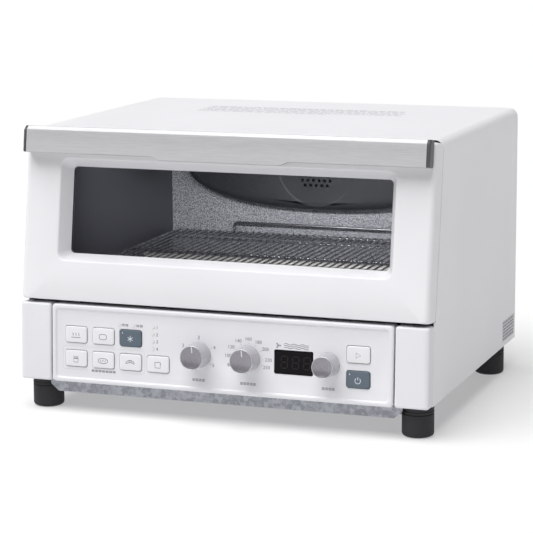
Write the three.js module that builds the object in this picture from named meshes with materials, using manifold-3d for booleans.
// Countertop convection toaster oven with a drop-down door over a control panel.
// Millimetres, +Z up, the front faces -Y. The origin is on the floor, under the middle of the oven.

import * as THREE from 'three';
import { mergeVertices } from 'three/addons/utils/BufferGeometryUtils.js';
import Module from 'manifold-3d';

const wasm = await Module();
wasm.setup();

const degrees = THREE.MathUtils.degToRad;

// Cabinet
const WIDTH = 355;
const BODY_HEIGHT = 210;
const SIDE_DEPTH = 278;
const SHEET = 0.8;
const SHELL_BEND = 8;
const CLEARANCE = 0.3; // between pieces that touch
const SEAT_GAP = 1; // behind the door and the control panel

// Feet
const FOOT_HEIGHT = 26;
const FOOT_RADIUS = 13;
const FOOT_INSET = 1.5; // from the cabinet's side to the foot
const FRONT_FOOT_SETBACK = 8;
const REAR_FOOT_SETBACK = 37;

// Control panel and door, each measured along its own leaning face
const PANEL_HEIGHT = 65.5;
const PANEL_DEPTH = 14;
const PANEL_LEAN = degrees(2.6);
const PANEL_WALL = 2;
const BEZEL_RIM = 4.5;
const BEZEL_RECESS = 1.2;
const CORNER_COVER_WIDTH = 28;
const DOOR_GAP = 3;
const DOOR_DEPTH = 18;
const DOOR_LEAN = degrees(8.7);
const DOOR_WALL = 3;
const EDGE_BEVEL = 1.2;

// Window
const WINDOW_INSET = 11; // chamber's wall to the visible glass
const WINDOW_SILL = 39.6; // door's lower edge to the visible glass
const WINDOW_HEAD = 30.5; // visible glass to the door's top edge
const WINDOW_CORNER = 3.6;
const RECESS_SPLAY = 6;
const GLASS = 2.2;
const GLASS_LAP = 5;
const LINER_INSET = 0.9; // door's back face to the liner

// Handle
const HANDLE_HEIGHT = 22;
const HANDLE_PROUD = 12.5;
const HANDLE_WALL = 2.5;
const HANDLE_BEVEL = 3;
const HANDLE_RISE = 1.6; // over the door's top edge
const HANDLE_INSET = 2.7;
const HANDLE_CAP = 2.5;
const GRIP_LENGTH = 120;
const GRIP_DROP = 3;

// Hinges, two pins across notches in the door's lower edge
const HINGE_DEPTH = 4.5;
const HINGE_HEIGHT = 3.5;
const PIN_RADIUS = 1.5;
const PIN_LENGTH = 15;
const ARM_WIDTH = 6;
const ARM_RADIUS = 2.6;
const ARM_SWING_GAP = 0.8; // the door's skin to the arm's nose
const HINGE_INSET = 11.5; // from the cabinet's side to the arm's middle

// Rear panel
const SLOT_WIDTH = 3.2;
const SLOT_HEIGHT = 34;
const SLOT_PITCH = 9;
const SLOTS = 8;
const SLOT_INSET = 82; // cabinet's side to the middle of a group of slots
const SLOT_DROP = 60; // cabinet's top or bottom to the middle of a group
const CORD_BUSH = { inset: 47, z: 28, neck: 7, flange: 10, bore: 3.6, sleeve: 9 };

// Oven chamber
const CHAMBER_WIDTH = 300;
const CHAMBER_BACK = 22; // space behind the chamber's back wall
const CHAMBER_ROOF = 10; // space over the chamber's roof
const CONTROL_BAY = 62; // from the panel's face to the heat shield
const FRAME_LAP = 2; // the front frame covers the chamber walls' edges
const FRAME_SILL = 5; // from the door's lower edge to the frame's opening
const CRUMB_WINDOW_INSET = 15;

// Fan
const FAN_RADIUS = 36;
const FAN_WIDTH = 9;
const FAN_BLADES = 8;
const FAN_SHAFT_RADIUS = 2.5;
const FAN_BACK = 3; // wheel's back plate to the chamber's back wall
const COVER_SIDE_GAP = 20; // chamber's wall to the cover
const COVER_HEIGHT = 84;
const COVER_DEPTH = 19;
const COVER_CROWN = 8;
const COVER_ROOF_GAP = 2;
const COVER_HOLE = 2.2;
const COVER_HOLE_PITCH = 7.4;

// Heaters
const HEATER_RADIUS = 4;
const HEATER_FRONT_SETBACK = 79; // side panel's front edge to the front heaters
const HEATER_REAR_GAP = 67; // rear heaters to the chamber's back wall
const LOWER_HEATER_RISE = 2; // over the heat shield's shelf
const UPPER_HEATER_DROP = 12;
const HOLDER = 12;

// Wire rack
const RACK_RISE = 19; // heat shield's shelf to the rack's top
const RACK_FRONT_SETBACK = 27; // side panel's front edge to the rack's front
const RACK_PITCH = 6.6;
const RACK_WIRE = 2;
const RACK_FRAME_WIRE = 3;
const RACK_SIDE_CLEARANCE = 6;
const RACK_BACK_GAP = 5;
const RACK_STOP_LENGTH = 172;
const RACK_STOP_RISE = 10;
const RAIL_SHELF = 9;

// Crumb tray, which slides under the base
const TRAY_LIP_LAP = 7; // the lip's ends stand out past the pan's sides
const TRAY_LIP_HEIGHT = 10;
const TRAY_REACH = 6; // past the base plate's crumb window
const TRAY_SHEET = 0.8;
const TRAY_FOOT_GAP = 3;
const TRAY_LIP_SETBACK = 10; // panel's face to the tray's front lip

// Controls, placed from the panel's middle
const BUTTON_WIDTH = 19.5;
const BUTTON_HEIGHT = 13.5;
const BUTTON_CORNER = 2;
const BUTTON_EDGE = 0.5;
const BUTTON_PROUD = 1.4;
const BUTTON_LENGTH = 5.9;
const BUTTON_GAP = 0.5;
const BUTTON_TRAVEL = 1;
const BUTTON_WEB = 5.1; // between two keys of a row
const BUTTON_FIRST = -126.5;
const UPPER_ROW_RISE = 7.85;
const LOWER_ROW_DROP = 12.25;
const START_COLUMN = 119.5;
const DISPLAY_WIDTH = 32.6;
const DISPLAY_HEIGHT = 19.3;
const DISPLAY_X = 65;
const DISPLAY_DROP = 2.55;
const KNOB_DROP = 1.75;
const KNOB_LENGTH = 16.5;
const KNOB_STEM_RADIUS = 3;
const KNOB_STEM = 6.4;
const BOARD_DEPTH = 10;
const BOARD_THICKNESS = 1.6;
const LAMP_RADIUS = 1.3;
const LEVEL_LAMPS = { count: 4, gap: 10.15, drop: 7.6, pitch: 5.95 }; // beside the mode key
const HEAT_LAMPS = { xs: [-10.3, 2.6], gap: 3.85 }; // over the mode key

// A point behind a leaning face and up it, as [y, z] from the cabinet's lower middle.
function onLean([footY, footZ], lean, depth, height) {
  const [sin, cos] = [Math.sin(lean), Math.cos(lean)];
  return [footY + depth * cos + height * sin, footZ - depth * sin + height * cos];
}

function onPanel(depth, height) {
  return onLean(PANEL_FOOT, PANEL_LEAN, depth, height);
}

function onDoor(depth, height) {
  return onLean(DOOR_FOOT, DOOR_LEAN, depth, height);
}

// Places that follow from the sizes above
const HALF_WIDTH = WIDTH / 2;
const BACK = SIDE_DEPTH / 2;
const PANEL_FRONT = -BACK - PANEL_DEPTH - SEAT_GAP;
const PANEL_FOOT = [PANEL_FRONT, PANEL_DEPTH * Math.sin(PANEL_LEAN)];
const PANEL_TOP = onPanel(0, PANEL_HEIGHT);
const DOOR_FOOT = [PANEL_TOP[0], PANEL_TOP[1] + DOOR_GAP];
const DOOR_HEIGHT = (BODY_HEIGHT - DOOR_FOOT[1]) / Math.cos(DOOR_LEAN);
const WINDOW_WIDTH = CHAMBER_WIDTH - 2 * WINDOW_INSET;
const WINDOW_HEIGHT = DOOR_HEIGHT - WINDOW_SILL - WINDOW_HEAD;
const WINDOW_MIDDLE = WINDOW_SILL + WINDOW_HEIGHT / 2;
const RECESS_DEPTH = DOOR_DEPTH - LINER_INSET - SHEET - GLASS - 2 * CLEARANCE;
const FRAME_DEPTH = DOOR_DEPTH + SEAT_GAP;
const INSIDE = HALF_WIDTH - SHEET - CLEARANCE;
const CHAMBER_REAR = BACK - CHAMBER_BACK;
const CHAMBER_TOP = BODY_HEIGHT - CHAMBER_ROOF;
const COVER_WIDTH = CHAMBER_WIDTH - 2 * COVER_SIDE_GAP;
const FAN_HEIGHT = CHAMBER_TOP - COVER_ROOF_GAP - COVER_HEIGHT / 2;
const BASE_TOP = SHEET + CLEARANCE;
const SHIELD_Y = PANEL_FRONT + CONTROL_BAY;
const SHIELD_TOP = DOOR_FOOT[1] + 1;
const HEATER_YS = [HEATER_FRONT_SETBACK - BACK, CHAMBER_REAR - HEATER_REAR_GAP];
const LOWER_HEATER_HEIGHT = SHIELD_TOP + LOWER_HEATER_RISE;
const UPPER_HEATER_HEIGHT = CHAMBER_TOP - UPPER_HEATER_DROP;
const RACK_HALF = CHAMBER_WIDTH / 2 - RACK_SIDE_CLEARANCE;
const RACK_YS = [RACK_FRONT_SETBACK - BACK, CHAMBER_REAR - RACK_BACK_GAP];
const RACK_HEIGHT = SHIELD_TOP + RACK_RISE;
const PANEL_HALF = HALF_WIDTH - CORNER_COVER_WIDTH - SEAT_GAP;
const FOOT_X = HALF_WIDTH - FOOT_INSET - FOOT_RADIUS;
const TRAY_FRONT = PANEL_FRONT + TRAY_LIP_SETBACK;
const TRAY_BACK = CHAMBER_REAR - CRUMB_WINDOW_INSET + TRAY_REACH;
const TRAY_HALF = FOOT_X - FOOT_RADIUS - TRAY_FOOT_GAP;
const BUTTON_ROW = [0, 1, 2, 3].map((i) => BUTTON_FIRST + i * (BUTTON_WIDTH + BUTTON_WEB));
const PANEL_MIDDLE = PANEL_HEIGHT / 2;
const UPPER_ROW = PANEL_MIDDLE + UPPER_ROW_RISE;
const LOWER_ROW = PANEL_MIDDLE - LOWER_ROW_DROP;
const KNOB_Z = PANEL_MIDDLE - KNOB_DROP;
const DISPLAY_Z = PANEL_MIDDLE - DISPLAY_DROP;
const LEVEL_LAMP_X = BUTTON_ROW[2] + BUTTON_WIDTH / 2 + LEVEL_LAMPS.gap;
const HEAT_LAMP_Z = UPPER_ROW + BUTTON_HEIGHT / 2 + HEAT_LAMPS.gap;

function levelLamps() {
  const { count, drop, pitch } = LEVEL_LAMPS;
  return Array.from({ length: count }, (_, i) => [LEVEL_LAMP_X, UPPER_ROW - drop + i * pitch]);
}

const BUTTONS = [
  { name: 'button_top_heat', x: BUTTON_ROW[0], z: UPPER_ROW, finish: 'whiteKey' },
  { name: 'button_bottom_heat', x: BUTTON_ROW[1], z: UPPER_ROW, finish: 'whiteKey' },
  { name: 'button_fan_mode', x: BUTTON_ROW[2], z: UPPER_ROW, finish: 'slateKey' },
  { name: 'button_toast', x: BUTTON_ROW[0], z: LOWER_ROW, finish: 'whiteKey' },
  { name: 'button_frozen_toast', x: BUTTON_ROW[1], z: LOWER_ROW, finish: 'whiteKey' },
  { name: 'button_reheat', x: BUTTON_ROW[2], z: LOWER_ROW, finish: 'whiteKey' },
  { name: 'button_light_toast', x: BUTTON_ROW[3], z: LOWER_ROW, finish: 'whiteKey' },
  { name: 'button_start', x: START_COLUMN, z: UPPER_ROW, finish: 'whiteKey' },
  { name: 'button_power', x: START_COLUMN, z: LOWER_ROW, finish: 'slateKey' },
];
const KNOBS = [
  { name: 'browning', x: -17, radius: 10.5 },
  { name: 'temperature', x: 26, radius: 10.5 },
  { name: 'timer', x: 94.5, radius: 9.5 },
];
const LIGHT_GUIDES = [
  { name: 'light_guide_level', lamps: levelLamps() },
  { name: 'light_guide_heat', lamps: HEAT_LAMPS.xs.map((x) => [BUTTON_ROW[2] + x, HEAT_LAMP_Z]) },
];

const FINISHES = {
  whiteSteel: { color: 0xf2f2f4, roughness: 0.42, metalness: 0 },
  whitePlastic: { color: 0xebebee, roughness: 0.38, metalness: 0 },
  whiteKey: { color: 0xf0f0f2, roughness: 0.35, metalness: 0 },
  slateKey: { color: 0x54606c, roughness: 0.4, metalness: 0 },
  silver: { color: 0xb9babd, roughness: 0.32, metalness: 0.85 },
  darkPlastic: { color: 0x47454a, roughness: 0.5, metalness: 0 },
  rubber: { color: 0x2b2a2e, roughness: 0.8, metalness: 0 },
  glass: { color: 0x30343a, roughness: 0.05, metalness: 0 },
  display: { color: 0x141218, roughness: 0.12, metalness: 0 },
  darkSteel: { color: 0x46484d, roughness: 0.45, metalness: 0.7 },
  plainSteel: { color: 0x96989e, roughness: 0.4, metalness: 0.9 },
  wire: { color: 0xc4c5c8, roughness: 0.25, metalness: 1 },
  quartz: { color: 0xd9d6cf, roughness: 0.3, metalness: 0 },
  ceramic: { color: 0xe9e4d8, roughness: 0.7, metalness: 0 },
  board: { color: 0x2f6b3c, roughness: 0.6, metalness: 0 },
  lamp: { color: 0xe6e2d8, roughness: 0.3, metalness: 0 },
};

// ---- Solids ----

function toSolid(geometry) {
  const bare = geometry.clone();
  bare.deleteAttribute('normal');
  bare.deleteAttribute('uv');
  const merged = mergeVertices(bare, 1e-4);
  const vertProperties = new Float32Array(merged.attributes.position.array);
  const triVerts = new Uint32Array(merged.index.array);
  return new wasm.Manifold(new wasm.Mesh({ numProp: 3, vertProperties, triVerts }));
}

function toGeometry(solid) {
  const mesh = solid.getMesh();
  const geometry = new THREE.BufferGeometry();
  geometry.setAttribute('position', new THREE.BufferAttribute(mesh.vertProperties, mesh.numProp));
  geometry.setIndex(new THREE.BufferAttribute(mesh.triVerts, 1));
  geometry.computeVertexNormals();
  return geometry;
}

function cut(piece, ...tools) {
  return toGeometry(tools.reduce((rest, tool) => rest.subtract(toSolid(tool)), toSolid(piece)));
}

const join = (...pieces) => toGeometry(wasm.Manifold.union(pieces.map(toSolid)));

// A closed outline through [a, b] points.
const outline = (points) => new THREE.Shape(points.map(([a, b]) => new THREE.Vector2(a, b)));

function roundedRectangle(width, height, radius, [x, y] = [0, 0]) {
  const [right, top, quarter] = [width / 2, height / 2, Math.PI / 2];
  const shape = new THREE.Shape();
  const corners = [[1, 1], [-1, 1], [-1, -1], [1, -1]];
  corners.forEach(([i, j], n) => {
    const centre = [x + i * (right - radius), y + j * (top - radius)];
    shape.absarc(...centre, radius, n * quarter, (n + 1) * quarter);
  });
  return shape;
}

function extrude(shape, length, options = {}) {
  const settings = { depth: length, bevelEnabled: false, curveSegments: 3, ...options };
  return new THREE.ExtrudeGeometry(shape, settings);
}

// Outline in (y, z), from x0 to x1.
function alongX(shape, x0, x1) {
  const directions = [[0, 1, 0], [0, 0, 1], [1, 0, 0]].map((v) => new THREE.Vector3(...v));
  const axes = new THREE.Matrix4().makeBasis(...directions);
  return extrude(shape, x1 - x0).applyMatrix4(axes).translate(x0, 0, 0);
}

// Outline in (x, z), from y0 back to y1.
function alongY(shape, y0, y1, options) {
  return extrude(shape, y1 - y0, options).rotateX(Math.PI / 2).translate(0, y1, 0);
}

function box([x0, x1], [y0, y1], [z0, z1]) {
  const middle = [(x0 + x1) / 2, (y0 + y1) / 2, (z0 + z1) / 2];
  return new THREE.BoxGeometry(x1 - x0, y1 - y0, z1 - z0).translate(...middle);
}

function rodX(radius, x0, x1, y, z, sides = 12) {
  const rod = new THREE.CylinderGeometry(radius, radius, x1 - x0, sides);
  return rod.rotateZ(Math.PI / 2).translate((x0 + x1) / 2, y, z);
}

function rodY(radius, y0, y1, x, z, sides = 16) {
  return new THREE.CylinderGeometry(radius, radius, y1 - y0, sides).translate(x, (y0 + y1) / 2, z);
}

// Spun about the Y axis, from [radius, y] points that run from back to front.
function spun(profile, sides) {
  return new THREE.LatheGeometry(profile.map(([r, y]) => new THREE.Vector2(r, y)), sides);
}

// ---- Cabinet ----

function cabinetShell() {
  const shape = new THREE.Shape();
  const inner = SHELL_BEND - SHEET;
  const [bendX, bendZ] = [HALF_WIDTH - SHELL_BEND, BODY_HEIGHT - SHELL_BEND];
  shape.moveTo(HALF_WIDTH, 0);
  shape.absarc(bendX, bendZ, SHELL_BEND, 0, Math.PI / 2);
  shape.absarc(-bendX, bendZ, SHELL_BEND, Math.PI / 2, Math.PI);
  shape.lineTo(-HALF_WIDTH, 0);
  shape.lineTo(SHEET - HALF_WIDTH, 0);
  shape.absarc(-bendX, bendZ, inner, Math.PI, Math.PI / 2, true);
  shape.absarc(bendX, bendZ, inner, Math.PI / 2, 0, true);
  shape.lineTo(HALF_WIDTH - SHEET, 0);
  const ahead = 2 * PANEL_FRONT;
  const front = outline([
    [ahead, -1],
    onPanel(PANEL_DEPTH + SEAT_GAP, -1),
    onPanel(PANEL_DEPTH + SEAT_GAP, PANEL_HEIGHT + DOOR_GAP / 2),
    onDoor(DOOR_DEPTH + SEAT_GAP, -DOOR_GAP / 2),
    onDoor(DOOR_DEPTH + SEAT_GAP, DOOR_HEIGHT + SHELL_BEND),
    [ahead, BODY_HEIGHT + SHELL_BEND],
  ]);
  return cut(alongY(shape, PANEL_FRONT, BACK), alongX(front, -WIDTH, WIDTH));
}

function rearPanel() {
  const top = BODY_HEIGHT - SHEET - CLEARANCE;
  const shape = roundedRectangle(2 * INSIDE, top - CLEARANCE, SHELL_BEND, [0, (top + CLEARANCE) / 2]);
  const bushX = HALF_WIDTH - CORD_BUSH.inset;
  const through = [BACK - 2 - SHEET, BACK];
  const holes = [rodY(CORD_BUSH.neck + CLEARANCE, ...through, bushX, CORD_BUSH.z, 20)];
  const side = HALF_WIDTH - SLOT_INSET;
  const [high, low] = [BODY_HEIGHT - SLOT_DROP, SLOT_DROP];
  for (const [middle, z] of [[-side, high], [side, high], [-side, low]]) {
    for (let i = 0; i < SLOTS; i++) {
      const x = middle + (i - (SLOTS - 1) / 2) * SLOT_PITCH;
      const across = [x - SLOT_WIDTH / 2, x + SLOT_WIDTH / 2];
      holes.push(box(across, through, [z - SLOT_HEIGHT / 2, z + SLOT_HEIGHT / 2]));
    }
  }
  return cut(alongY(shape, BACK - 1 - SHEET, BACK - 1, { curveSegments: 2 }), ...holes);
}

// Inlet bush of the mains lead: a flange outside, a neck through the panel and a tapered sleeve.
function cordBush() {
  const [inner, outer] = [BACK - 1 - SHEET - 3, BACK - 1 + CLEARANCE];
  const profile = [
    [CORD_BUSH.bore, outer + CORD_BUSH.sleeve],
    [CORD_BUSH.bore, inner],
    [CORD_BUSH.neck, inner],
    [CORD_BUSH.neck, outer],
    [CORD_BUSH.flange, outer],
    [CORD_BUSH.flange, outer + 2],
    [CORD_BUSH.neck, outer + 3],
    [CORD_BUSH.bore + 1.2, outer + CORD_BUSH.sleeve],
    [CORD_BUSH.bore, outer + CORD_BUSH.sleeve],
  ];
  return spun(profile, 20).translate(HALF_WIDTH - CORD_BUSH.inset, 0, CORD_BUSH.z);
}

function basePlate() {
  const front = onPanel(PANEL_DEPTH + SEAT_GAP, 0)[0] + CLEARANCE;
  const back = BACK - 1 - SHEET - CLEARANCE;
  const half = CHAMBER_WIDTH / 2 - CRUMB_WINDOW_INSET;
  const window = [SHIELD_Y + CRUMB_WINDOW_INSET, CHAMBER_REAR - CRUMB_WINDOW_INSET];
  const plate = box([-INSIDE, INSIDE], [front, back], [CLEARANCE, BASE_TOP]);
  const opened = cut(plate, box([-half, half], window, [-1, BASE_TOP + 1]));
  return join(opened, trayRail(-1), trayRail(1));
}

// Runner folded down from the base plate, with a ledge under the crumb tray's edge.
function trayRail(side) {
  const [near, far] = [TRAY_HALF + CLEARANCE, TRAY_HALF + TRAY_FOOT_GAP - 1];
  const low = -TRAY_LIP_HEIGHT - CLEARANCE;
  const shape = outline([
    [far, 2 * CLEARANCE],
    [near, 2 * CLEARANCE],
    [near, low],
    [near - RAIL_SHELF, low],
    [near - RAIL_SHELF, low - SHEET],
    [far, low - SHEET],
  ].map(([x, z]) => [side * x, z]));
  return alongY(shape, -BACK + FRONT_FOOT_SETBACK + 4, TRAY_BACK);
}

function foot() {
  const [base, sole] = [-CLEARANCE, -FOOT_HEIGHT];
  const side = [[FOOT_RADIUS - 2.5, sole], [FOOT_RADIUS, sole + 3], [FOOT_RADIUS, base]];
  return spun([[0, sole], ...side, [0, base]], 20).rotateX(Math.PI / 2);
}

// Steel ring that the door closes against, drawn in the door's own leaning frame.
function frontFrame() {
  const top = DOOR_HEIGHT - SHELL_BEND;
  const bottom = 0.5;
  const shape = roundedRectangle(2 * INSIDE, top - bottom, 2, [0, (top + bottom) / 2]);
  const [sill, head] = [FRAME_SILL, chamberHead()];
  const across = CHAMBER_WIDTH - 2 * FRAME_LAP;
  shape.holes.push(roundedRectangle(across, head - sill, 4, [0, (sill + head) / 2]));
  return alongY(shape, FRAME_DEPTH, FRAME_DEPTH + SHEET);
}

// How far back a chamber piece may start at a height, clear of the front frame.
function frameBack(z) {
  const [y, level] = onDoor(FRAME_DEPTH + SHEET + CLEARANCE, 0);
  return y + (z - level) * Math.tan(DOOR_LEAN);
}

const chamberHead = () => (CHAMBER_TOP - FRAME_LAP - DOOR_FOOT[1]) / Math.cos(DOOR_LEAN);

// ---- Oven chamber ----

function chamberSide(side) {
  const floor = SHIELD_TOP + SHEET + CLEARANCE;
  const shape = outline([
    [SHIELD_Y + SHEET + CLEARANCE, BASE_TOP + CLEARANCE],
    [CHAMBER_REAR, BASE_TOP + CLEARANCE],
    [CHAMBER_REAR, CHAMBER_TOP],
    [frameBack(CHAMBER_TOP), CHAMBER_TOP],
    [frameBack(floor), floor],
    [SHIELD_Y + SHEET + CLEARANCE, floor],
  ]);
  const wall = CHAMBER_WIDTH / 2;
  const plate = side > 0 ? alongX(shape, wall, wall + SHEET) : alongX(shape, -wall - SHEET, -wall);
  const holes = heaterPlaces().map(([y, z]) => rodX(HEATER_RADIUS + 0.6, -HALF_WIDTH, HALF_WIDTH, y, z));
  return cut(plate, ...holes);
}

function heaterPlaces() {
  return [LOWER_HEATER_HEIGHT, UPPER_HEATER_HEIGHT].flatMap((z) => HEATER_YS.map((y) => [y, z]));
}

function chamberRoof() {
  const [under, over] = [CHAMBER_TOP + CLEARANCE, CHAMBER_TOP + CLEARANCE + SHEET];
  const half = CHAMBER_WIDTH / 2 + SHEET;
  return box([-half, half], [frameBack(over), CHAMBER_REAR], [under, over]);
}

function chamberBack() {
  const half = CHAMBER_WIDTH / 2 + SHEET;
  const front = CHAMBER_REAR + CLEARANCE;
  const plate = box([-half, half], [front, front + SHEET], [BASE_TOP + CLEARANCE, CHAMBER_TOP]);
  return cut(plate, rodY(FAN_SHAFT_RADIUS + 2, front - 1, front + SHEET + 1, 0, FAN_HEIGHT));
}

// Bent sheet that closes the control bay off from the heat: a wall and a shelf.
function heatShield() {
  const front = frameBack(SHIELD_TOP + SHEET);
  const shape = outline([
    [front, SHIELD_TOP],
    [SHIELD_Y, SHIELD_TOP],
    [SHIELD_Y, BASE_TOP + CLEARANCE],
    [SHIELD_Y + SHEET, BASE_TOP + CLEARANCE],
    [SHIELD_Y + SHEET, SHIELD_TOP + SHEET],
    [front, SHIELD_TOP + SHEET],
  ]);
  return alongX(shape, -CHAMBER_WIDTH / 2, CHAMBER_WIDTH / 2);
}

function heaterTube([y, z]) {
  return rodX(HEATER_RADIUS, -CHAMBER_WIDTH / 2 - HOLDER, CHAMBER_WIDTH / 2 + HOLDER, y, z);
}

// Ceramic bar outside the chamber's wall, with a blind socket for each tube of one level.
function heaterHolder(side, z) {
  const near = CHAMBER_WIDTH / 2 + SHEET + CLEARANCE;
  const far = CHAMBER_WIDTH / 2 + HOLDER + 4;
  const ends = [HEATER_YS[0] - HOLDER, HEATER_YS[1] + HOLDER];
  const across = side > 0 ? [near, far] : [-far, -near];
  const bar = box(across, ends, [z - 8, z + 8]);
  const depth = CHAMBER_WIDTH / 2 + HOLDER + CLEARANCE;
  return cut(bar, ...HEATER_YS.map((y) => rodX(HEATER_RADIUS + CLEARANCE, -depth, depth, y, z)));
}

// ---- Fan ----

function ellipse(width, height) {
  return new THREE.Shape().absellipse(0, 0, width / 2, height / 2, 0, 2 * Math.PI);
}

// One crowned oval block whose front is `inset` inside the cover's outer face.
function coverBlock(inset, back) {
  const crown = COVER_CROWN - inset / 2;
  const edge = { bevelThickness: crown, bevelSize: crown, bevelSegments: 2 };
  const flat = ellipse(COVER_WIDTH - 2 * inset - 2 * crown, COVER_HEIGHT - 2 * inset - 2 * crown);
  const front = CHAMBER_REAR - COVER_DEPTH + inset + crown;
  const oval = alongY(flat, front, back, { bevelEnabled: true, curveSegments: 36, ...edge });
  return oval.translate(0, 0, FAN_HEIGHT);
}

function fanCover() {
  const seat = CHAMBER_REAR - CLEARANCE;
  const behind = box([-WIDTH, WIDTH], [seat, seat + 3 * COVER_DEPTH], [0, 2 * BODY_HEIGHT]);
  const holes = [rodY(COVER_HOLE, CHAMBER_REAR - 2 * COVER_DEPTH, seat, 0, FAN_HEIGHT, 6)];
  for (const ring of [1, 2]) {
    for (let i = 0; i < 6 * ring; i++) {
      const turn = (i / (6 * ring)) * 2 * Math.PI;
      const [x, z] = [Math.cos(turn), Math.sin(turn)].map((v) => v * ring * COVER_HOLE_PITCH);
      holes.push(rodY(COVER_HOLE, CHAMBER_REAR - 2 * COVER_DEPTH, seat, x, FAN_HEIGHT + z, 6));
    }
  }
  return cut(coverBlock(0, seat), coverBlock(SHEET, seat + COVER_DEPTH), behind, ...holes);
}

function fanWheel() {
  const [front, back] = [CHAMBER_REAR - FAN_BACK - FAN_WIDTH, CHAMBER_REAR - FAN_BACK];
  const bore = rodY(FAN_SHAFT_RADIUS + CLEARANCE, front - 1, back + 1, 0, 0);
  const disc = rodY(FAN_RADIUS, back - SHEET, back, 0, 0, 32);
  const pieces = [disc, rodY(2 * FAN_SHAFT_RADIUS, front, back, 0, 0)];
  const [reach, thickness] = [[0.4 * FAN_RADIUS, FAN_RADIUS - 1], [-SHEET / 2, SHEET / 2]];
  for (let i = 0; i < FAN_BLADES; i++) {
    const blade = box(reach, [front, back - SHEET / 2], thickness);
    pieces.push(blade.rotateY(((i + 0.06) / FAN_BLADES) * 2 * Math.PI));
  }
  return cut(join(...pieces), bore).translate(0, 0, FAN_HEIGHT);
}

function fanShaft() {
  const tip = CHAMBER_REAR - FAN_BACK - FAN_WIDTH - 1;
  return rodY(FAN_SHAFT_RADIUS, tip, CHAMBER_REAR + CLEARANCE + SHEET + 5, 0, FAN_HEIGHT);
}

function fanMotor() {
  const front = CHAMBER_REAR + CLEARANCE + SHEET + 3;
  const back = BACK - 1 - SHEET - 1;
  const stack = box([-30, 30], [front, back], [FAN_HEIGHT - 22, FAN_HEIGHT + 22]);
  const coil = box([-26, 26], [front + 1, back - 0.5], [FAN_HEIGHT - 38, FAN_HEIGHT - 20]);
  return cut(join(stack, coil), rodY(FAN_SHAFT_RADIUS + CLEARANCE, front - 1, front + 3, 0, FAN_HEIGHT));
}

// ---- Rack and rails ----

function wireRack() {
  const [front, back] = RACK_YS;
  const half = RACK_HALF;
  const w = RACK_FRAME_WIRE;
  const [low, high] = [RACK_HEIGHT - w, RACK_HEIGHT];
  const rows = [front, (front + back) / 2 - w / 2, back - w];
  const wires = rows.map((y) => box([-half, half], [y, y + w], [low, high]));
  for (const x of [-half, half - w]) wires.push(box([x, x + w], [front, back], [low, high]));
  const count = Math.floor((2 * (half - w) - RACK_WIRE) / RACK_PITCH);
  for (let i = 0; i <= count; i++) {
    const x = (i - count / 2) * RACK_PITCH;
    const across = [x - RACK_WIRE / 2, x + RACK_WIRE / 2];
    wires.push(box(across, [front + 0.4, back - 0.4], [high - 0.5, high - 0.5 + RACK_WIRE]));
  }
  const [stop, rise] = [RACK_STOP_LENGTH / 2, high + RACK_STOP_RISE];
  wires.push(box([-stop, stop], [back - w + 0.3, back - 0.3], [rise - 2.4, rise]));
  for (const x of [-stop, stop - 2.4]) {
    wires.push(box([x, x + 2.4], [back - w + 0.3, back - 0.3], [low + 0.5, rise]));
  }
  return join(...wires);
}

function rackRail(side) {
  const wall = CHAMBER_WIDTH / 2 - CLEARANCE;
  const top = RACK_HEIGHT - RACK_FRAME_WIRE - CLEARANCE;
  const shape = outline([
    [wall, top],
    [wall - RAIL_SHELF, top],
    [wall - RAIL_SHELF, top - SHEET],
    [wall - SHEET, top - SHEET],
    [wall - SHEET, top - 5],
    [wall, top - 5],
  ].map(([x, z]) => [side * x, z]));
  return alongY(shape, RACK_YS[0], CHAMBER_REAR - CLEARANCE);
}

// ---- Crumb tray ----

function crumbTray() {
  const [floor, rim] = [-TRAY_LIP_HEIGHT, -TRAY_SHEET - CLEARANCE];
  const pan = box([-TRAY_HALF, TRAY_HALF], [TRAY_FRONT, TRAY_BACK], [floor, rim]);
  const inner = TRAY_HALF - TRAY_SHEET;
  const along = [TRAY_FRONT + TRAY_SHEET, TRAY_BACK - TRAY_SHEET];
  const hollow = box([-inner, inner], along, [floor + TRAY_SHEET, 1]);
  const [half, chamfer] = [TRAY_HALF + TRAY_LIP_LAP, 7];
  const lip = outline([
    [-half, -CLEARANCE],
    [-half, -4],
    [chamfer - half, floor],
    [half - chamfer, floor],
    [half, -4],
    [half, -CLEARANCE],
  ]);
  return join(cut(pan, hollow), alongY(lip, TRAY_FRONT - TRAY_SHEET, TRAY_FRONT + 0.1));
}

// ---- Control panel, in its own leaning frame: y is depth behind the face, z is height up it ----

function bevelled(width, height, depth, corner, [x, z]) {
  const edge = { bevelThickness: EDGE_BEVEL, bevelSize: EDGE_BEVEL, bevelSegments: 2 };
  const face = roundedRectangle(width - 2 * EDGE_BEVEL, height - 2 * EDGE_BEVEL, corner, [x, z]);
  const options = { bevelEnabled: true, curveSegments: 2, ...edge };
  return alongY(face, EDGE_BEVEL, depth - EDGE_BEVEL, options);
}

function cornerCover(side) {
  const x = side * (HALF_WIDTH - CORNER_COVER_WIDTH / 2);
  const place = [x, PANEL_MIDDLE];
  const cover = bevelled(CORNER_COVER_WIDTH, PANEL_HEIGHT, PANEL_DEPTH, 2, place);
  const [wide, high] = [CORNER_COVER_WIDTH, PANEL_HEIGHT].map((size) => size - 2 * PANEL_WALL - 1);
  const hollow = roundedRectangle(wide, high, 1, place);
  return cut(cover, alongY(hollow, PANEL_WALL, PANEL_DEPTH + 1, { curveSegments: 1 }));
}

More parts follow.
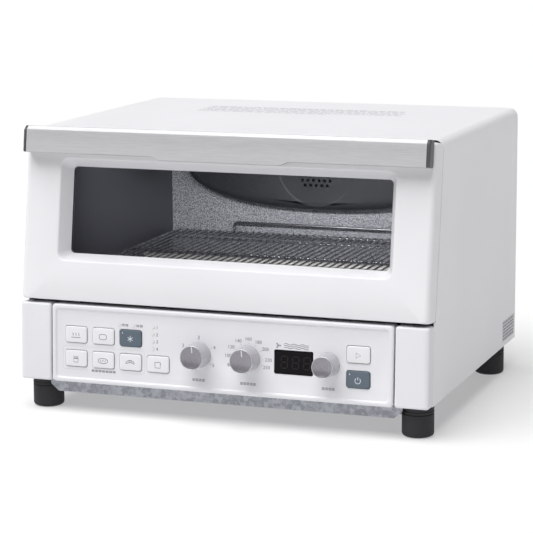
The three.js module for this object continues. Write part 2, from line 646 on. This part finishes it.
function controlBezel() {
  const middle = [0, PANEL_MIDDLE];
  const body = bevelled(2 * PANEL_HALF, PANEL_HEIGHT, PANEL_DEPTH, 3, middle);
  const [faceWidth, faceHeight] = [2 * PANEL_HALF, PANEL_HEIGHT].map((size) => size - 2 * BEZEL_RIM);
  const recess = alongY(roundedRectangle(faceWidth, faceHeight, 3, middle), -1, BEZEL_RECESS);
  const back = BEZEL_RECESS + PANEL_WALL;
  const hollowShape = roundedRectangle(2 * (PANEL_HALF - 3), PANEL_HEIGHT - 6, 2, middle);
  const hollow = alongY(hollowShape, back, PANEL_DEPTH + 1);
  const [keyWidth, keyHeight] = [BUTTON_WIDTH, BUTTON_HEIGHT].map((size) => size + 2 * BUTTON_GAP);
  const keys = BUTTONS.map(({ x, z }) => {
    const hole = roundedRectangle(keyWidth, keyHeight, BUTTON_CORNER, [x, z]);
    return alongY(hole, 0, back + 1, { curveSegments: 2 });
  });
  const [glassWidth, glassHeight] = [DISPLAY_WIDTH, DISPLAY_HEIGHT].map((size) => size + 2 * CLEARANCE);
  const display = roundedRectangle(glassWidth, glassHeight, 1.5, [DISPLAY_X, DISPLAY_Z]);
  const stems = KNOBS.map(({ x }) => rodY(KNOB_STEM_RADIUS + BUTTON_GAP, 0, back + 1, x, KNOB_Z));
  const lamps = LIGHT_GUIDES.flatMap(({ lamps: places }) => places);
  const lampHoles = lamps.map(([x, z]) => rodY(LAMP_RADIUS + CLEARANCE, 0, back + 1, x, z, 8));
  return cut(body, recess, hollow, ...keys, alongY(display, 0, back + 1), ...stems, ...lampHoles);
}

function button({ x, z }) {
  const face = BEZEL_RECESS - BUTTON_PROUD;
  const edge = { bevelThickness: BUTTON_EDGE, bevelSize: BUTTON_EDGE, bevelSegments: 1 };
  const [width, height] = [BUTTON_WIDTH, BUTTON_HEIGHT].map((size) => size - 2 * BUTTON_EDGE);
  const shape = roundedRectangle(width, height, BUTTON_CORNER - BUTTON_EDGE, [x, z]);
  const ends = [face + BUTTON_EDGE, face + BUTTON_LENGTH - BUTTON_EDGE];
  return alongY(shape, ...ends, { bevelEnabled: true, curveSegments: 2, ...edge });
}

function displayWindow() {
  const shape = roundedRectangle(DISPLAY_WIDTH, DISPLAY_HEIGHT, 1.5, [DISPLAY_X, DISPLAY_Z]);
  return alongY(shape, BEZEL_RECESS - CLEARANCE, BEZEL_RECESS + PANEL_WALL);
}

function lightGuide({ lamps }) {
  const base = BEZEL_RECESS + PANEL_WALL + CLEARANCE;
  const [xs, zs] = [lamps.map(([x]) => x), lamps.map(([, z]) => z)];
  const around = (values) => [Math.min(...values) - 2, Math.max(...values) + 2];
  const pins = lamps.map(([x, z]) => rodY(LAMP_RADIUS, BEZEL_RECESS - CLEARANCE, base + 1, x, z, 8));
  return join(box(around(xs), [base, base + 2], around(zs)), ...pins);
}

function knob({ radius }) {
  const seat = BEZEL_RECESS - CLEARANCE;
  const front = seat - KNOB_LENGTH;
  const profile = [
    [0, seat + KNOB_STEM],
    [KNOB_STEM_RADIUS, seat + KNOB_STEM],
    [KNOB_STEM_RADIUS, seat],
    [radius, seat],
    [radius - 0.4, front + 0.8],
    [radius - 1.2, front],
    [radius - 2.2, front + 0.3],
    [0, front + 1.4],
  ];
  return spun(profile.reverse(), 24);
}

// Board with a push switch behind each button and a socketed rotary control behind each knob.
function circuitBoard() {
  const half = PANEL_HALF - 6;
  const behind = BOARD_DEPTH + 0.5;
  const board = box([-half, half], [BOARD_DEPTH, BOARD_DEPTH + BOARD_THICKNESS], [5, PANEL_HEIGHT - 5]);
  const front = BEZEL_RECESS - BUTTON_PROUD + BUTTON_LENGTH + BUTTON_TRAVEL + CLEARANCE;
  const switches = BUTTONS.map(({ x, z }) => box([x - 3, x + 3], [front, behind], [z - 3, z + 3]));
  const stemEnd = BEZEL_RECESS - CLEARANCE + KNOB_STEM;
  const cans = KNOBS.map(({ x }) => box([x - 8, x + 8], [stemEnd - 1.5, behind], [KNOB_Z - 8, KNOB_Z + 8]));
  const socket = KNOB_STEM_RADIUS + CLEARANCE;
  const sockets = KNOBS.map(({ x }) => rodY(socket, stemEnd - 2, stemEnd + CLEARANCE, x, KNOB_Z));
  return cut(join(board, ...switches, ...cans), ...sockets);
}

// ---- Door, in its own leaning frame ----

const hingeX = (side) => side * (HALF_WIDTH - HINGE_INSET);

function doorFrame() {
  const half = HALF_WIDTH - CLEARANCE;
  const body = bevelled(2 * half, DOOR_HEIGHT, DOOR_DEPTH, 3, [0, DOOR_HEIGHT / 2]);
  const [low, high] = [HINGE_HEIGHT + 6, DOOR_HEIGHT - DOOR_WALL];
  const inside = 2 * (half - DOOR_WALL - 1);
  const pocketShape = () => roundedRectangle(inside, high - low, 2, [0, (low + high) / 2]);
  const windowShape = (margin, corner) => {
    const [width, height] = [WINDOW_WIDTH, WINDOW_HEIGHT].map((size) => size + 2 * margin);
    return roundedRectangle(width, height, corner, [0, WINDOW_MIDDLE]);
  };
  const pocket = pocketShape();
  pocket.holes.push(windowShape(RECESS_SPLAY + PANEL_WALL, RECESS_SPLAY));
  const splay = { bevelThickness: RECESS_DEPTH, bevelSize: RECESS_SPLAY, bevelSegments: 1 };
  const cuts = [
    alongY(pocket, DOOR_WALL, DOOR_DEPTH + 1),
    alongY(pocketShape(), RECESS_DEPTH + CLEARANCE + GLASS, DOOR_DEPTH + 1),
    alongY(windowShape(GLASS_LAP, WINDOW_CORNER), RECESS_DEPTH, DOOR_DEPTH),
    alongY(windowShape(0, WINDOW_CORNER), -1, 0, { bevelEnabled: true, ...splay }),
  ];
  for (const side of [-1, 1]) cuts.push(...hingeCuts(side));
  return cut(body, ...cuts);
}

// Notch round a hinge arm, and the bore of its pin.
function hingeCuts(side) {
  const [x, gap] = [hingeX(side), ARM_WIDTH / 2 + 1];
  const depth = [HINGE_DEPTH - ARM_RADIUS - ARM_SWING_GAP, DOOR_DEPTH + 1];
  const notch = box([x - gap, x + gap], depth, [-1, HINGE_HEIGHT + 4]);
  const reach = PIN_LENGTH / 2 + CLEARANCE;
  return [notch, rodX(PIN_RADIUS + CLEARANCE, x - reach, x + reach, HINGE_DEPTH, HINGE_HEIGHT)];
}

function doorGlass() {
  const lap = 2 * (GLASS_LAP - CLEARANCE);
  const [width, height] = [WINDOW_WIDTH + lap, WINDOW_HEIGHT + lap];
  const shape = roundedRectangle(width, height, WINDOW_CORNER, [0, WINDOW_MIDDLE]);
  return alongY(shape, RECESS_DEPTH + CLEARANCE, RECESS_DEPTH + CLEARANCE + GLASS);
}

// Steel plate behind the glass that closes the hollow door.
function doorLiner() {
  const half = HALF_WIDTH - DOOR_WALL - 1 - 2 * CLEARANCE;
  const [low, high] = [HINGE_HEIGHT + 6 + CLEARANCE, DOOR_HEIGHT - DOOR_WALL - CLEARANCE];
  const shape = roundedRectangle(2 * half, high - low, 2, [0, (low + high) / 2]);
  shape.holes.push(roundedRectangle(WINDOW_WIDTH, WINDOW_HEIGHT, WINDOW_CORNER, [0, WINDOW_MIDDLE]));
  const front = RECESS_DEPTH + GLASS + 2 * CLEARANCE;
  return alongY(shape, front, front + SHEET);
}

function hingeArm(side) {
  const [x, end] = [hingeX(side), FRAME_DEPTH - CLEARANCE];
  const shape = new THREE.Shape();
  shape.moveTo(end, HINGE_HEIGHT - ARM_RADIUS);
  shape.lineTo(end, HINGE_HEIGHT + ARM_RADIUS);
  shape.absarc(HINGE_DEPTH, HINGE_HEIGHT, ARM_RADIUS, Math.PI / 2, 1.5 * Math.PI);
  const arm = alongX(shape, x - ARM_WIDTH / 2, x + ARM_WIDTH / 2);
  return cut(arm, rodX(PIN_RADIUS + CLEARANCE, x - ARM_WIDTH, x + ARM_WIDTH, HINGE_DEPTH, HINGE_HEIGHT));
}

function hingePin(side) {
  const x = hingeX(side);
  return rodX(PIN_RADIUS, x - PIN_LENGTH / 2, x + PIN_LENGTH / 2, HINGE_DEPTH, HINGE_HEIGHT);
}

// ---- Handle ----

const HANDLE_TOP = DOOR_HEIGHT + HANDLE_RISE;
const HANDLE_HALF = HALF_WIDTH - HANDLE_INSET - HANDLE_CAP - CLEARANCE;

function handleSection(solid) {
  const [front, back, top, bottom] = [-HANDLE_PROUD, -CLEARANCE, HANDLE_TOP, HANDLE_TOP - HANDLE_HEIGHT];
  const bevel = [[front + HANDLE_BEVEL, top], [front, top - HANDLE_BEVEL]];
  const outer = [[back, bottom], [back, top], ...bevel, [front, bottom]];
  const roof = top - HANDLE_HEIGHT / 3;
  const inner = [
    [front + HANDLE_WALL, bottom],
    [front + HANDLE_WALL, roof],
    [back - HANDLE_WALL, roof],
    [back - HANDLE_WALL, bottom],
  ];
  return outline(solid ? outer : [...outer, ...inner]);
}

function handleBar() {
  const [front, bottom] = [-HANDLE_PROUD, HANDLE_TOP - HANDLE_HEIGHT];
  const across = [-GRIP_LENGTH / 2, GRIP_LENGTH / 2];
  const lip = box(across, [front + 0.5, front + HANDLE_WALL], [bottom - GRIP_DROP, bottom + 1]);
  return join(alongX(handleSection(false), -HANDLE_HALF, HANDLE_HALF), lip);
}

function handleCap(side) {
  const near = HANDLE_HALF + CLEARANCE;
  const across = [near, near + HANDLE_CAP].map((x) => side * x).sort((a, b) => a - b);
  return alongX(handleSection(true), ...across);
}

// ---- Assembly ----

function part(name, geometry, finish) {
  const mesh = new THREE.Mesh(geometry, new THREE.MeshStandardMaterial(FINISHES[finish]));
  mesh.name = name;
  return mesh;
}

function leaning([y, z], lean) {
  const group = new THREE.Group();
  group.position.set(0, y, z);
  group.rotation.x = -lean;
  return group;
}

function buildCabinet() {
  const cabinet = new THREE.Group();
  cabinet.add(
    part('cabinet_shell', cabinetShell(), 'whiteSteel'),
    part('rear_panel', rearPanel(), 'plainSteel'),
    part('cord_inlet_bush', cordBush(), 'rubber'),
    part('base_plate', basePlate(), 'plainSteel'),
    part('crumb_tray', crumbTray(), 'plainSteel'),
  );
  for (const [end, y] of [['front', FRONT_FOOT_SETBACK - BACK], ['rear', BACK - REAR_FOOT_SETBACK]]) {
    for (const [name, side] of [['left', -1], ['right', 1]]) {
      const piece = part(`foot_${end}_${name}`, foot(), 'rubber');
      piece.position.set(side * FOOT_X, y, 0);
      cabinet.add(piece);
    }
  }
  return cabinet;
}

function buildChamber() {
  const chamber = new THREE.Group();
  chamber.add(
    part('chamber_wall_left', chamberSide(-1), 'darkSteel'),
    part('chamber_wall_right', chamberSide(1), 'darkSteel'),
    part('chamber_roof', chamberRoof(), 'darkSteel'),
    part('chamber_back', chamberBack(), 'plainSteel'),
    part('heat_shield', heatShield(), 'plainSteel'),
    part('rack_rail_left', rackRail(-1), 'plainSteel'),
    part('rack_rail_right', rackRail(1), 'plainSteel'),
    part('wire_rack', wireRack(), 'wire'),
    part('fan_cover', fanCover(), 'darkSteel'),
    part('fan_wheel', fanWheel(), 'plainSteel'),
    part('fan_shaft', fanShaft(), 'plainSteel'),
    part('fan_motor', fanMotor(), 'plainSteel'),
  );
  const tubes = ['heater_lower_front', 'heater_lower_rear', 'heater_upper_front', 'heater_upper_rear'];
  heaterPlaces().forEach((place, i) => chamber.add(part(tubes[i], heaterTube(place), 'quartz')));
  for (const [level, z] of [['lower', LOWER_HEATER_HEIGHT], ['upper', UPPER_HEATER_HEIGHT]]) {
    chamber.add(part(`heater_holder_${level}_left`, heaterHolder(-1, z), 'ceramic'));
    chamber.add(part(`heater_holder_${level}_right`, heaterHolder(1, z), 'ceramic'));
  }
  return chamber;
}

function buildPanel() {
  const panel = leaning(PANEL_FOOT, PANEL_LEAN);
  panel.add(
    part('corner_cover_left', cornerCover(-1), 'whitePlastic'),
    part('corner_cover_right', cornerCover(1), 'whitePlastic'),
    part('control_bezel', controlBezel(), 'whitePlastic'),
    part('display_window', displayWindow(), 'display'),
    part('circuit_board', circuitBoard(), 'board'),
  );
  for (const key of BUTTONS) panel.add(part(key.name, button(key), key.finish));
  for (const guide of LIGHT_GUIDES) panel.add(part(guide.name, lightGuide(guide), 'lamp'));
  for (const dial of KNOBS) {
    const turned = part(`${dial.name}_knob`, knob(dial), 'silver');
    turned.position.set(dial.x, 0, KNOB_Z);
    panel.add(turned);
  }
  return panel;
}

function buildDoor() {
  const door = leaning(DOOR_FOOT, DOOR_LEAN);
  door.add(
    part('front_frame', frontFrame(), 'darkSteel'),
    part('door_frame', doorFrame(), 'whitePlastic'),
    part('door_glass', doorGlass(), 'glass'),
    part('door_liner', doorLiner(), 'plainSteel'),
    part('handle_bar', handleBar(), 'silver'),
  );
  for (const [name, side] of [['left', -1], ['right', 1]]) {
    door.add(
      part(`handle_cap_${name}`, handleCap(side), 'darkPlastic'),
      part(`hinge_arm_${name}`, hingeArm(side), 'plainSteel'),
      part(`hinge_pin_${name}`, hingePin(side), 'plainSteel'),
    );
  }
  return door;
}

const body = new THREE.Group();
body.add(buildCabinet(), buildChamber(), buildPanel(), buildDoor());
body.position.z = FOOT_HEIGHT;
const oven = new THREE.Group();
oven.add(body);
const extent = new THREE.Box3().setFromObject(oven, true);
body.position.y = -(extent.min.y + extent.max.y) / 2;

export default oven;
